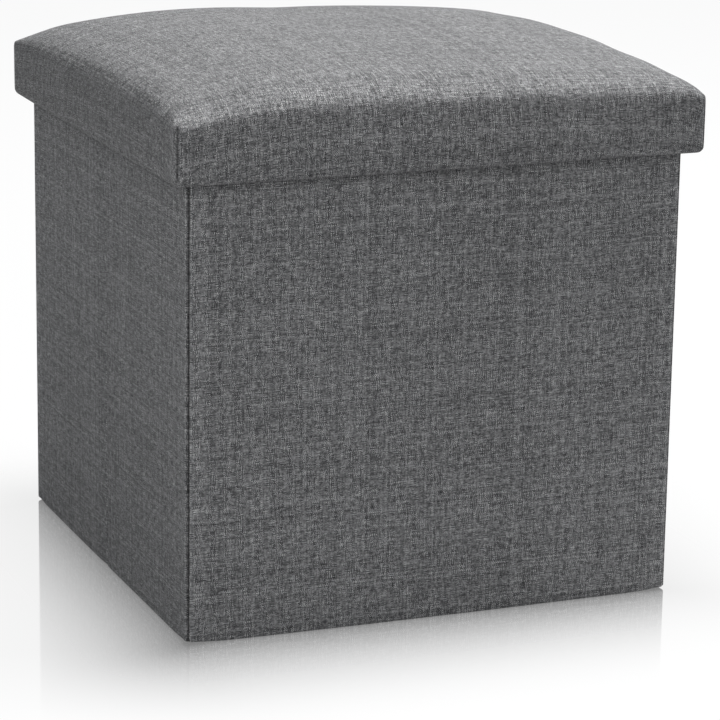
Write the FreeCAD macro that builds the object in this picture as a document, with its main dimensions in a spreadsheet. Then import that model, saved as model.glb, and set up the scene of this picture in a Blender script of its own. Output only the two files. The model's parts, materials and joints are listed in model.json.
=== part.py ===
"""Collapsible storage ottoman: a fabric-covered cube of boards under a padded lift-off lid.

Millimetres, +Z up.  The origin is on the ground at the middle of the cube, and the front is -Y.
Each wall is a stiff board in a fabric sleeve.  A side wall is two such panels, sewn together along
an upright fold line, so that the cube folds flat towards its rear wall once the floor board is up.
"""
import FreeCAD, Part
import math
import os
import re
import Sketcher

SIZES = [
    ("Width and depth of the body over the fabric", "body_width", 356.0),
    ("Top edge of the walls", "wall_top", 346.0),
    ("Outer fabric with its backing", "fabric", 1.2),
    ("Wall board", "board", 3.0),
    ("Non-woven lining of a wall", "lining", 0.8),
    ("Bottom hem of the walls", "hem_height", 6.0),
    ("Rounding under a hem", "hem_radius", 1.0),
    ("Rounding of the fabric over a wall's top edge", "fold_radius", 1.0),
    ("Rounding of the upright body corners", "corner_radius", 4.0),
    ("Upright seam, in from the body corner", "corner_seam", 4.5),
    ("Sewn corner: two layers and a seam", "corner_layers", 2.5),
    ("Soft corner between an end wall and a side panel", "corner_gap", 6.5),
    ("Slit beside a moving panel", "edge_slit", 0.3),
    ("Side panel to the fold line", "fold_slit", 0.1),
    ("Side board to the seam of its pocket", "pocket_seam", 2.0),
    ("Floor board", "floor_board", 3.0),
    ("Cloth on each face of the floor board", "floor_cloth", 0.6),
    ("Floor board, side to side", "floor_width", 342.0),
    ("Floor board, front to rear", "floor_length", 341.0),
    ("Rounding of the floor board's corners", "floor_corner", 5.0),
    ("Cloth hinge behind the floor board", "floor_hinge", 1.6),
    ("Pull tab, across", "tab_width", 25.0),
    ("Pull tab, along", "tab_length", 45.0),
    ("Pull tab, a ribbon folded double", "tab_thick", 1.0),
    ("Rounding of the pull tab's corners", "tab_corner", 4.0),
    ("Width and depth of the lid over the fabric", "lid_width", 380.0),
    ("Lower edge of the lid", "lid_bottom", 314.0),
    ("Crown of the lid", "crown", 380.0),
    ("Radius of the domed top", "dome_radius", 1500.0),
    ("Rounding of the lid's upright corners", "lid_corner", 6.0),
    ("Rounding along the lid's top edge", "lid_edge", 5.0),
    ("Gap between the lid fabric and what it covers", "ease", 0.2),
    ("Lid rim strip", "rim", 5.0),
    ("Lid board", "lid_board", 3.0),
    ("Lid board's edge, in from the fabric", "lid_board_inset", 3.4),
    ("Lining under the lid board", "lid_lining", 0.8),
]
SIZE = {alias: value for _, alias, value in SIZES}
SWING = 20  # degrees that the cuts of the lid's dome are swung, enough to clear the lid

# Lengths that several pieces share, in words of the sheet.
WALL = "(fabric + board + lining)"
PANEL_END = f"(body_width / 2 - {WALL} - corner_gap)"
PANEL = f"({PANEL_END} - fold_slit)"
CORNER_RETURN = f"({WALL} + corner_gap - edge_slit)"
FLOOR_REAR = f"(body_width / 2 - {WALL} - floor_hinge)"
FLOOR_THICK = "(floor_board + 2 * floor_cloth)"
RIM_OUT = "(lid_width / 2 - fabric - ease)"
RIM_IN = f"({RIM_OUT} - rim)"
LID_BOARD_UNDER = "(wall_top + lid_lining)"

doc = FreeCAD.newDocument("StorageOttoman")
sheet = doc.addObject("Spreadsheet::Sheet", "Sizes")
for row, (meaning, alias, value) in enumerate(SIZES, start=1):
    sheet.set(f"A{row}", meaning)
    sheet.set(f"B{row}", str(value))
    sheet.setAlias(f"B{row}", alias)
doc.recompute()

pieces = []


# --- drawing helpers -------------------------------------------------------------------------

def bind(thing, path, text):
    """Bind a property to the sheet; every word in text but sqrt is one of its aliases."""
    thing.setExpression(path, re.sub(r"\b(?!sqrt\b)([a-z_]+)", r"Sizes.\1", text))


def new_body(name, is_piece=True):
    body = doc.addObject("PartDesign::Body", name)
    body.Label = name
    if is_piece:
        pieces.append(body)
    return body


def place(body, x="0", y="0", z="0", turn=0):
    """Stand a body at x, y, z, turned by whole degrees about its own upright axis."""
    body.Placement.Rotation = FreeCAD.Rotation(FreeCAD.Vector(0, 0, 1), turn)
    for axis, text in (("x", x), ("y", y), ("z", z)):
        bind(body, f"Placement.Base.{axis}", text)


def new_sketch(body, plane, start):
    """Sketch on one of the body's origin planes, moved along the plane's normal to start."""
    sketch = body.newObject("Sketcher::SketchObject", f"{body.Label}_sketch")
    planes = [part for part in body.Origin.OriginFeatures if part.Role == f"{plane}_Plane"]
    sketch.AttachmentSupport = (planes[0], [""])
    sketch.MapMode = "FlatFace"
    bind(sketch, "AttachmentOffset.Base.z", start)
    return sketch


def constrain(sketch, kind, text, rough_value, *where):
    index = sketch.addConstraint(Sketcher.Constraint(kind, *where, rough_value))
    bind(sketch, f"Constraints[{index}]", text)


def add_lines(sketch, corners, rough):
    """Straight lines from corner to corner; two distances from the origin hold each corner.

    The rough places only give the solver somewhere to start.
    """
    lines = []
    for here, there in zip(rough, rough[1:]):
        lines.append(sketch.addGeometry(Part.LineSegment(here, there), False))
    for line, following in zip(lines, lines[1:]):
        sketch.addConstraint(Sketcher.Constraint("Coincident", line, 2, following, 1))
    ends = [(line, 1) for line in lines] + [(lines[-1], 2)]
    for (across, along), place_near, end in zip(corners, rough, ends):
        constrain(sketch, "DistanceX", across, place_near.x, -1, 1, *end)
        constrain(sketch, "DistanceY", along, place_near.y, -1, 1, *end)
    return lines


def add_loop(sketch, corners):
    """Closed outline of straight lines."""
    turns = [2 * math.pi * step / len(corners) for step in range(len(corners))]
    rough = [FreeCAD.Vector(math.cos(turn), math.sin(turn), 0) for turn in turns]
    lines = add_lines(sketch, corners, rough)
    closing = sketch.addGeometry(Part.LineSegment(rough[-1], rough[0]), False)
    sketch.addConstraint(Sketcher.Constraint("Coincident", lines[-1], 2, closing, 1))
    sketch.addConstraint(Sketcher.Constraint("Coincident", closing, 2, lines[0], 1))


def add_arc_loop(sketch, corners, rough, radius, rough_arc):
    """Closed outline of straight lines whose last side is an arc back to the first corner."""
    lines = add_lines(sketch, corners, rough)
    arc = sketch.addGeometry(rough_arc, False)
    ends = ((lines[0], 1), (lines[-1], 2))
    first = min((1, 2), key=lambda end: sketch.getPoint(arc, end).distanceToPoint(rough[0]))
    for arc_end, line_end in zip((first, 3 - first), ends):
        sketch.addConstraint(Sketcher.Constraint("Coincident", arc, arc_end, *line_end))
    constrain(sketch, "Radius", radius, rough_arc.Radius, arc)


def rectangle(left, right, low, high):
    return [(left, low), (right, low), (right, high), (left, high)]


def square(half):
    return rectangle(f"-{half}", half, f"-{half}", half)


def extrude(body, plane, loops, length, start="0", kind="Pad"):
    """Pad or pocket of one or more outlines, from start to start + length along the plane's normal."""
    sketch = new_sketch(body, plane, start)
    for corners in loops:
        add_loop(sketch, corners)
    feature = body.newObject(f"PartDesign::{kind}", f"{body.Label}_{kind.lower()}")
    feature.Profile = sketch
    feature.Reversed = kind == "Pocket"
    bind(feature, "Length", length)
    doc.recompute()


def round_edges(body, radius, chosen):
    """Fillet those edges of the body's last feature for which chosen(edge) holds."""
    base = body.Tip
    numbered = enumerate(base.Shape.Edges, start=1)
    names = [f"Edge{number}" for number, edge in numbered if chosen(edge)]
    fillet = body.newObject("PartDesign::Fillet", f"{body.Label}_rounding")
    fillet.Base = (base, names)
    bind(fillet, "Radius", radius)
    doc.recompute()


def is_upright(edge):
    return max(edge.BoundBox.XLength, edge.BoundBox.YLength) < 0.01


def is_at(edge, **places):
    """True where the edge's middle has each of the given x, y or z."""
    middle = edge.CenterOfMass
    return all(abs(getattr(middle, axis) - value) < 0.01 for axis, value in places.items())


def extruded_piece(name, plane, outline, length, start="0"):
    body = new_body(name)
    extrude(body, plane, [outline], length, start)
    return body


# --- walls -----------------------------------------------------------------------------------
# A wall is drawn along +X with its outer face on y = 0 and its inner face towards +Y.

def wall_cover(name, length, inset):
    """Outer fabric, folded over the wall's top edge and sewn to the lining."""
    section = [
        ("0", "hem_height"), ("fabric", "hem_height"), ("fabric", "wall_top - fabric"),
        (WALL, "wall_top - fabric"), (WALL, "wall_top"), ("0", "wall_top"),
    ]
    cover = extruded_piece(f"{name}_cover", "YZ", section, f"{length} - 2 * {inset}", inset)
    round_edges(cover, "fold_radius", lambda edge: is_at(edge, y=0, z=SIZE["wall_top"]))
    return cover


def wall_board(name, length, inset):
    section = rectangle("fabric", "fabric + board", "hem_height", "wall_top - fabric")
    return extruded_piece(f"{name}_board", "YZ", section, f"{length} - 2 * {inset}", inset)


def wall_lining(name, length, inset):
    section = rectangle("fabric + board", WALL, "hem_height", "wall_top - fabric")
    return extruded_piece(f"{name}_lining", "YZ", section, f"{length} - 2 * {inset}", inset)


def wall_hem(name, outline):
    """Fabric turned under the boards: the strip that the wall stands on."""
    hem = extruded_piece(f"{name}_hem", "XY", outline, "hem_height")
    round_edges(hem, "hem_radius", lambda edge: is_at(edge, y=0, z=0))
    return hem


def side_panel(name, x, y, turn):
    """Half of a side wall, between its corner and the fold line."""
    layers = [
        wall_cover(name, PANEL, "0"),
        wall_board(name, PANEL, "pocket_seam"),
        wall_lining(name, PANEL, "0"),
        wall_hem(name, rectangle("0", PANEL, "0", WALL)),
    ]
    for layer in layers:
        place(layer, x, y, turn=turn)


def sewn_corner(name, outline, corner_x):
    """Side fabric wrapped round the end of a front or rear wall, with the seam behind it."""
    corner = extruded_piece(name, "XY", outline, "wall_top - hem_height", "hem_height")
    rounded = (lambda edge: is_upright(edge) and is_at(edge, x=corner_x, y=0))
    round_edges(corner, "corner_radius", rounded)
    return corner


def end_wall(name, first_corner, last_corner, x, y, turn):
    """Front or rear wall, as wide as the body, with a sewn corner at each end."""
    first_outline = [
        ("0", "0"), ("corner_seam", "0"), ("corner_seam", "fabric"), ("corner_layers", "fabric"),
        ("corner_layers", CORNER_RETURN), ("0", CORNER_RETURN),
    ]
    last_outline = [(f"body_width - {across}", along) for across, along in first_outline]
    hem_outline = [
        ("0", "0"), ("body_width", "0"), ("body_width", CORNER_RETURN),
        ("body_width - corner_layers", CORNER_RETURN), ("body_width - corner_layers", WALL),
        ("corner_layers", WALL), ("corner_layers", CORNER_RETURN), ("0", CORNER_RETURN),
    ]
    layers = [
        wall_cover(name, "body_width", "corner_seam"),
        wall_board(name, "body_width", "corner_layers"),
        wall_lining(name, "body_width", "corner_layers"),
        wall_hem(name, hem_outline),
        sewn_corner(first_corner, first_outline, 0),
        sewn_corner(last_corner, last_outline, SIZE["body_width"]),
    ]
    for layer in layers:
        place(layer, x, y, turn=turn)


end_wall("front_wall", "front_left_corner", "front_right_corner",
         "-body_width / 2", "-body_width / 2", 0)
end_wall("rear_wall", "rear_right_corner", "rear_left_corner",
         "body_width / 2", "body_width / 2", 180)
side_panel("left_rear_panel", "-body_width / 2", PANEL_END, -90)
side_panel("left_front_panel", "-body_width / 2", "-fold_slit", -90)
side_panel("right_front_panel", "body_width / 2", f"-{PANEL_END}", 90)
side_panel("right_rear_panel", "body_width / 2", "fold_slit", 90)


# --- floor board -----------------------------------------------------------------------------
# Drawn lying down, with the edge that it hinges on along x at y = 0 and its front towards -Y.

def floor_sheet(name, thick, height):
    """Sheet or board of the floor, with its two front corners rounded."""
    outline = rectangle("-floor_width / 2", "floor_width / 2", "-floor_length", "0")
    piece = extruded_piece(name, "XY", outline, thick)
    front = -SIZE["floor_length"]
    round_edges(piece, "floor_corner", lambda edge: is_upright(edge) and is_at(edge, y=front))
    place(piece, y=FLOOR_REAR, z=height)


floor_sheet("floor_bottom_cloth", "floor_cloth", "0")
floor_sheet("floor_board", "floor_board", "floor_cloth")
floor_sheet("floor_top_cloth", "floor_cloth", "floor_cloth + floor_board")

tab = extruded_piece("floor_pull_tab", "XY",
                     rectangle("-tab_width / 2", "tab_width / 2", "0", "tab_length"), "tab_thick")
tab_end = SIZE["tab_length"]
round_edges(tab, "tab_corner", lambda edge: is_upright(edge) and is_at(edge, y=tab_end))
place(tab, y=f"{FLOOR_REAR} - floor_length", z=FLOOR_THICK)

hinge_outline = rectangle("-floor_width / 2", "floor_width / 2", "edge_slit / 3", "floor_hinge")
hinge_cloth = extruded_piece("floor_hinge_cloth", "XY", hinge_outline, FLOOR_THICK)
place(hinge_cloth, y=FLOOR_REAR)


# --- lid -------------------------------------------------------------------------------------

# The top is part of a ball about a far-off centre under the lid.  Sketches that shape it have that
# centre as their origin, and are turned about their own level axis through it.

def ball_sketch(body, plane):
    sketch = new_sketch(body, plane, "0")
    bind(sketch, "AttachmentOffset.Base.y", "crown - dome_radius")
    return sketch


def turn_away(body, sketch):
    groove = body.newObject("PartDesign::Groove", f"{body.Label}_groove")
    groove.Profile = sketch
    groove.ReferenceAxis = (sketch, ["H_Axis"])
    groove.Angle = SWING
    groove.Midplane = True
    doc.recompute()


def arc_of(centre, radius, start, end):
    circle = Part.Circle(centre, FreeCAD.Vector(0, 0, 1), radius)
    return Part.ArcOfCircle(circle, start, end)


def dome_cut(body, inset):
    """Take away everything above the ball, inset from the fabric."""
    ball = f"(dome_radius - {inset})"
    side = f"sqrt({ball}^2 - lid_width^2)"
    above = "(dome_radius + lid_width / 10)"
    corners = [("lid_width", side), ("lid_width", above), ("-lid_width", above), ("-lid_width", side)]
    reach, radius = SIZE["lid_width"], SIZE["dome_radius"]
    drop = math.sqrt(radius ** 2 - reach ** 2)
    rough = [FreeCAD.Vector(x, y, 0) for x, y in
             ((reach, drop), (reach, radius), (-reach, radius), (-reach, drop))]
    spread = math.asin(reach / radius)
    crown_arc = arc_of(FreeCAD.Vector(), radius, math.pi / 2 - spread, math.pi / 2 + spread)
    sketch = ball_sketch(body, "XZ")
    add_arc_loop(sketch, corners, rough, ball, crown_arc)
    turn_away(body, sketch)


def rolled_edge_cut(body, plane, inset):
    """Round the two top edges that lie across the plane, from the ball over to the sides."""
    half, roll = f"(lid_width / 2 - {inset})", f"(lid_edge - {inset})"
    ball = f"(dome_radius - {inset})"
    across = f"({half} - {roll})"
    along = f"sqrt(({ball} - {roll})^2 - {across}^2)"
    grown = f"{ball} / ({ball} - {roll})"
    above = "(dome_radius + lid_width / 10)"
    corners = [
        (f"{across} * {grown}", f"{along} * {grown}"), (f"{across} * {grown}", above),
        ("lid_width", above), ("lid_width", along), (half, along),
    ]
    reach, radius, rounding = SIZE["lid_width"] / 2, SIZE["dome_radius"], SIZE["lid_edge"]
    drop = math.sqrt(radius ** 2 - reach ** 2)
    rough = [(reach - rounding, drop), (reach - rounding, radius), (2 * reach, radius),
             (2 * reach, drop - rounding), (reach, drop - rounding)]
    sketch = ball_sketch(body, plane)
    for sign in (1, -1):
        centre = FreeCAD.Vector(sign * (reach - rounding), drop - rounding, 0)
        start = 0 if sign > 0 else math.pi / 2
        add_arc_loop(
            sketch,
            [(f"{sign} * {x}", y) for x, y in corners],
            [FreeCAD.Vector(sign * x, y, 0) for x, y in rough],
            roll,
            arc_of(centre, rounding, start, start + math.pi / 2),
        )
    turn_away(body, sketch)


def domed_block(name, inset, low, is_piece=True):
    """Square block under the dome with its corners and top edges rounded, inset from the fabric."""
    body = new_body(name, is_piece)
    extrude(body, "XY", [square(f"(lid_width / 2 - {inset})")], f"crown - {low}", low)
    round_edges(body, f"lid_corner - {inset}", is_upright)
    dome_cut(body, inset)
    for plane in ("XZ", "YZ"):
        rolled_edge_cut(body, plane, inset)
    return body


def rim_strip(name, outline):
    length = f"{LID_BOARD_UNDER} - lid_bottom - fabric"
    return extruded_piece(name, "XY", outline, length, "lid_bottom + fabric")


# What the lid's fabric leaves free: the space of pad, board and rim, split by the fabric that is
# turned in under the rim and up its inner side, and the mouth that the walls stand in.
lid_inside = domed_block("lid_inside", "fabric", "(lid_bottom + fabric)", is_piece=False)
mouth = square(f"({RIM_IN} - fabric)")
extrude(lid_inside, "XY", [square(RIM_IN), mouth],
        "wall_top - ease - lid_bottom - fabric", "lid_bottom + fabric", kind="Pocket")
extrude(lid_inside, "XY", [mouth], "2 * fabric", "lid_bottom - fabric")

lid_cover = domed_block("lid_cover", "0", "lid_bottom")
hollow = lid_cover.newObject("PartDesign::Boolean", "lid_cover_hollow")
hollow.setObjects([lid_inside])
hollow.Type = "Cut"
doc.recompute()

domed_block("lid_foam", "(fabric + ease)", f"({LID_BOARD_UNDER} + lid_board)")

lid_board = extruded_piece("lid_board", "XY", square("(lid_width / 2 - lid_board_inset)"),
                           "lid_board", LID_BOARD_UNDER)
round_edges(lid_board, "lid_corner", is_upright)
extruded_piece("lid_lining", "XY", square(f"({RIM_IN} - ease)"), "lid_lining", "wall_top")

rim_reach = SIZE["lid_width"] / 2 - SIZE["fabric"] - SIZE["ease"]
for end, sign in (("front", "-"), ("rear", "")):
    sides = [f"{sign}{RIM_OUT}", f"{sign}{RIM_IN}"]
    strip = rim_strip(f"lid_rim_{end}", rectangle(f"-{RIM_OUT}", RIM_OUT, *sides))
    outer = -rim_reach if end == "front" else rim_reach
    round_edges(strip, "lid_corner - fabric - ease",
                lambda edge: is_upright(edge) and is_at(edge, y=outer))
for end, sign in (("left", "-"), ("right", "")):
    sides = [f"{sign}{RIM_OUT}", f"{sign}{RIM_IN}"]
    rim_strip(f"lid_rim_{end}", rectangle(*sides, f"-{RIM_IN}", RIM_IN))


# --- check and write -------------------------------------------------------------------------

doc.recompute()
failed = [thing.Label for thing in doc.Objects if {"Invalid", "Error"} & set(thing.State)]
failed += [piece.Label for piece in pieces if piece.Shape.isNull() or not piece.Shape.isValid()]
if failed:
    raise RuntimeError(f"These did not come out: {', '.join(failed)}")

os.makedirs("parts", exist_ok=True)
for piece in pieces:
    piece.Shape.exportStep(f"parts/{piece.Label}.step")
    box = piece.Shape.BoundBox
    print(f"{piece.Label:26s} {piece.Shape.Volume / 1000:9.2f} cm3"
          f"  z {box.ZMin:7.2f} .. {box.ZMax:7.2f}  solids {len(piece.Shape.Solids)}")
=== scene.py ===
"""Looks of a collapsible storage ottoman: a grey linen-look cube under a padded lift-off lid.

Metres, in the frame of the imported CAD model: +Z up, -Y the front, the origin on the ground.
Places and sizes are read from the CAD nodes.  "s" is a distance along the outline of the body or
the lid seen from above, measured from the middle of the front, anticlockwise.
"""
import json
import math

import bmesh
import bpy
import numpy as np
from mathutils import Matrix, Vector, noise


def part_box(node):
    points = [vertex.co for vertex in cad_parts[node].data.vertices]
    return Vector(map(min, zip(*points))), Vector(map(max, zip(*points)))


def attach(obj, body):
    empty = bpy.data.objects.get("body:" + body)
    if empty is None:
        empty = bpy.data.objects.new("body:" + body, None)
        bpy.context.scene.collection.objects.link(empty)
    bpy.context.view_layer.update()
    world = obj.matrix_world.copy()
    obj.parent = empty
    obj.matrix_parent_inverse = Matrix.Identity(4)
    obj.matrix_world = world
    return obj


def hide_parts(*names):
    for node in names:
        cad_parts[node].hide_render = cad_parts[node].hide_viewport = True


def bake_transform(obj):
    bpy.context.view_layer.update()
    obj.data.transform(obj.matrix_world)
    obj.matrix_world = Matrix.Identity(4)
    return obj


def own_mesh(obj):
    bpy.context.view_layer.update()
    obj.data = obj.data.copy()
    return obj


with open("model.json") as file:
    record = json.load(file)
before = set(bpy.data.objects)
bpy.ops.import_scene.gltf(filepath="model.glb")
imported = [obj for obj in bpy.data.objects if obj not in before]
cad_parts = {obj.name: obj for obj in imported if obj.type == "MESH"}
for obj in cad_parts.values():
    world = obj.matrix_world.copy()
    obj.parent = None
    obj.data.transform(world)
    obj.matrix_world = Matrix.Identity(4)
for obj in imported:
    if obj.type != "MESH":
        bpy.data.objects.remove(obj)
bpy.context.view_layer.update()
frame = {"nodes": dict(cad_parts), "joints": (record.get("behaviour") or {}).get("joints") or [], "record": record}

MM = 0.001
JOINTS = {joint["name"]: joint for joint in frame["joints"]}


def low(node):
    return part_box(node)[0]


def high(node):
    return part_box(node)[1]


# Body.
HALF = -low("front_left_corner").x
WALL_TOP = high("front_wall_cover").z
HEM_TOP = high("front_wall_hem").z
BOARD_FACE = low("left_front_panel_board").x + HALF
LINING_BACK = low("left_front_panel_lining").x + HALF
LINING_FACE = high("left_front_panel_lining").x + HALF
PIVOT_Y = JOINTS["left_rear_fold"]["pos_m"][1]
CORNER = 4 * MM                     # rounding of the upright corners
FOLD_ROLL = 1.6 * MM                # rounding of the fabric over the top edge
FOLD_FACE = LINING_FACE + 0.1 * MM  # the fabric that is turned down inside
FOLD_LOW = WALL_TOP - 12 * MM
STITCH_Z = WALL_TOP - 8 * MM

# Lid.
LID_HALF = high("lid_cover").x
LID_LOW = low("lid_cover").z
CROWN = high("lid_cover").z
CEILING = low("lid_lining").z
MOUTH = -high("lid_rim_left").x - (low("lid_rim_left").z - LID_LOW)
LID_CORNER = 6 * MM
SHOULDER = CEILING + 4 * MM         # where the sides turn into the top


# --- meshes ----------------------------------------------------------------------------------

class Outline:
    """Rounded square seen from above."""

    def __init__(self, half, radius):
        self.radius = radius
        self.flat = half - radius
        self.side = 2 * self.flat + math.pi * radius / 2

    def at(self, s, depth=0.0):
        """Point x, y that deep under the outline at s, and the outward direction there."""
        turns = math.floor(s / self.side + 0.5)
        along = s - turns * self.side
        sign = math.copysign(1, along)
        if abs(along) <= self.flat:
            x, y, out = along, depth - self.flat - self.radius, Vector((0, -1))
        elif depth <= self.radius:
            angle = (abs(along) - self.flat) / self.radius
            out = Vector((sign * math.sin(angle), -math.cos(angle)))
            x = sign * self.flat + (self.radius - depth) * out.x
            y = (self.radius - depth) * out.y - self.flat
        else:
            out = Vector((sign, -1)).normalized()
            x, y = sign * (self.flat + self.radius - depth), depth - self.flat - self.radius
        for _ in range(turns % 4):
            x, y = -y, x
            out = Vector((-out.y, out.x))
        return x, y, out

    def from_seam(self, s):
        """Distance along the outline to the nearest corner's middle."""
        past = (s - self.side / 2) % self.side
        return min(past, self.side - past)


BODY = Outline(HALF, CORNER)
SIDE = BODY.side
REAR = 2 * SIDE                     # the middle of the rear
SEAM = SIDE / 2                     # a corner's stitched seam
PIVOT = SEAM + math.pi * CORNER / 4 + BODY.flat - PIVOT_Y
JOIN = PIVOT + 16 * MM              # where a corner piece meets the fabric of the side
FINE = [SEAM + corner * SIDE for corner in range(-1, 4)] + [SIDE, 3 * SIDE]


def add_object(name, data):
    made = bpy.data.objects.new(name, data)
    bpy.context.scene.collection.objects.link(made)
    return made


def make_piece(name, points, faces, cloth, material, smooth_angle=50):
    """Mesh object; cloth has a cloth coordinate for each point, or for each corner of each face."""
    if len(cloth) == len(points):
        cloth = [cloth[k] for face in faces for k in face]
    mesh = bpy.data.meshes.new(name)
    mesh.from_pydata(points, [], faces)
    layer = mesh.uv_layers.new(name="cloth")
    layer.data.foreach_set("uv", np.array(cloth, np.float32).ravel())
    work = bmesh.new()
    work.from_mesh(mesh)
    bmesh.ops.remove_doubles(work, verts=work.verts, dist=1e-6)
    bmesh.ops.dissolve_degenerate(work, edges=work.edges, dist=1e-7)
    bmesh.ops.recalc_face_normals(work, faces=work.faces)
    work.to_mesh(mesh)
    work.free()
    mesh.polygons.foreach_set("use_smooth", [True] * len(mesh.polygons))
    mesh.set_sharp_from_angle(angle=math.radians(smooth_angle))
    mesh.materials.append(material)
    return add_object(name, mesh)


def paint_shade(piece, shade_at):
    """Store painted shade at each point, as shade_at gives it, for the fabric's material: dark in stitched lines,
    a painted highlight beside them.
    """
    mask = piece.data.attributes.new("seam", "FLOAT", "POINT")
    mask.data.foreach_set("value", [shade_at(*vertex.co) for vertex in piece.data.vertices])


def sweep(name, start, end, section, relief, material):
    """Closed section carried along the body's outline.

    A row of the section is (depth, z, cloth coordinate, kind).  A "face" row moves with the
    relief, an "under" row is kept under the outer face and a "tuck" row behind the inner one, and a
    "fixed" row keeps its depth.
    """
    least = 0.4 * MM
    spots = spots_between(start, end, FINE)
    points, cloth = [], []
    for s in spots:
        for depth, z, v, kind in section:
            if kind == "face":
                depth += relief(s, z)
            elif kind == "under":
                depth = max(depth, relief(s, z) + least)
            elif kind == "tuck":
                depth = min(depth, LINING_FACE + relief(s, z) - least)
            x, y, _ = BODY.at(s, depth)
            points.append((x, y, z))
            cloth.append((s, v))
    rows = len(section)
    faces = [tuple(range(rows)), tuple(range(len(points) - 1, len(points) - rows - 1, -1))]
    for column in range(len(spots) - 1):
        for row in range(rows):
            here, there = column * rows, (column + 1) * rows
            following = (row + 1) % rows
            faces.append((here + row, there + row, there + following, here + following))
    return make_piece(name, points, faces, cloth, material)


def cell(i, j):
    """Grid places at the corners of a cell."""
    return (i, j), (i + 1, j), (i + 1, j + 1), (i, j + 1)


def rim_places(first, last_i, last_j):
    """Places round the edge of a grid whose first place is (first, first)."""
    return ([(i, first) for i in range(first, last_i)] + [(last_i, j) for j in range(first, last_j)]
            + [(i, last_j) for i in range(last_i, first, -1)]
            + [(first, j) for j in range(last_j, first, -1)])


def slab(name, columns, rows, place, material):
    """Closed slab over a grid of cloth coordinates; place(a, b, side) is a point of its side 0 or 1."""
    wide = len(rows)
    points = [place(a, b, side) for side in (0, 1) for a in columns for b in rows]
    cloth = [(a, b) for _ in (0, 1) for a in columns for b in rows]

    def index(side, i, j):
        return (side * len(columns) + i) * wide + j

    last_i, last_j = len(columns) - 1, wide - 1
    faces = [[index(side, *corner) for corner in cell(i, j)]
             for side in (0, 1) for i in range(last_i) for j in range(last_j)]
    rim = rim_places(0, last_i, last_j)
    for here, there in zip(rim, rim[1:] + rim[:1]):
        faces.append((index(0, *here), index(0, *there), index(1, *there), index(1, *here)))
    return make_piece(name, points, faces, cloth, material)


def stitches(name, ends, radius):
    """Sewn stitches: short bent threads; each of ends is (start, end, outward direction)."""
    sides, shares = 5, np.linspace(0, 1, 6)
    points, faces = [], []
    for start, end, out in ends:
        start, end, out = Vector(start), Vector(end), Vector(out)
        across = (end - start).cross(out).normalized()
        first = len(points)
        for share in shares:
            swell = math.sin(math.pi * share)
            middle = start.lerp(end, share) + out * radius * (1.3 * swell - 0.5)
            thick = radius * (0.45 + 0.55 * swell ** 0.5)
            for side in range(sides):
                turn = 2 * math.pi * side / sides
                points.append(middle + thick * (math.cos(turn) * across + math.sin(turn) * out))
        for ring in range(len(shares) - 1):
            for side in range(sides):
                here = first + ring * sides
                following = (side + 1) % sides
                faces.append((here + side, here + following, here + sides + following,
                              here + sides + side))
        faces.append(tuple(first + side for side in range(sides)))
        faces.append(tuple(len(points) - 1 - side for side in range(sides)))
    cloth = [(point.x + point.y, point.z) for point in points]
    return make_piece(name, points, faces, cloth, THREAD)


def spots_between(start, end, fine):
    """Places along an outline: even steps, and closer ones about the places in fine."""
    near = np.array([0, 0.35, 0.7, 1.1, 1.6, 2.2, 3.0, 4.0, 5.5, 8, 12]) * MM
    found = set(np.linspace(start, end, max(2, round((end - start) / (6 * MM)) + 1)))
    for place in fine:
        found |= {place + sign * distance for distance in near for sign in (-1, 1)}
    kept = [start]
    for place in sorted(p for p in found if start <= p <= end):
        if place - kept[-1] > 0.25 * MM:
            kept.append(place)
    kept[-1] = end
    return kept


# --- how the cloth lies ----------------------------------------------------------------------

def ripple(x, y, z, size, seed):
    return noise.noise(Vector((x, y, z)) / size + Vector((seed, 2.3 * seed, -seed)))


def ramp(value, start, end):
    """0 before start, 1 after end, smooth between."""
    t = min(1.0, max(0.0, (value - start) / (end - start)))
    return t * t * (3 - 2 * t)


def seam_groove(distance, depth, width, shoulder):
    """Depth of a sewn seam's groove, with the cloth puffed up on both sides of it."""
    groove = depth * max(0.0, 1 - distance / width) ** 1.2
    return groove - shoulder * math.exp(-((distance - 2.4 * width) / (1.5 * width)) ** 2)


def seam_shade(distance, width):
    """Painted shade: 1 in the stitched line's groove, and a little under 0 beside it, a painted highlight on the
    cloth puffed up there.
    """
    # dark is painted shade in the groove; pale is a painted highlight on the puffed-up cloth beside it.
    dark = max(0.0, 1 - distance / width)
    pale = math.exp(-((distance - 2.6 * width) / (1.3 * width)) ** 2)
    return dark - 0.22 * pale * (1 - dark)


def body_seam_shade(x, y, z):
    near = min(abs(x), abs(y)) > HALF - 12 * MM
    return seam_shade(abs(abs(x) - abs(y)) / math.sqrt(2), 1.5 * MM) if near else 0.0


def on_side_wall(s):
    return abs(BODY.at(s)[0]) > HALF - MM and BODY.from_seam(s) > 4 * MM


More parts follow.
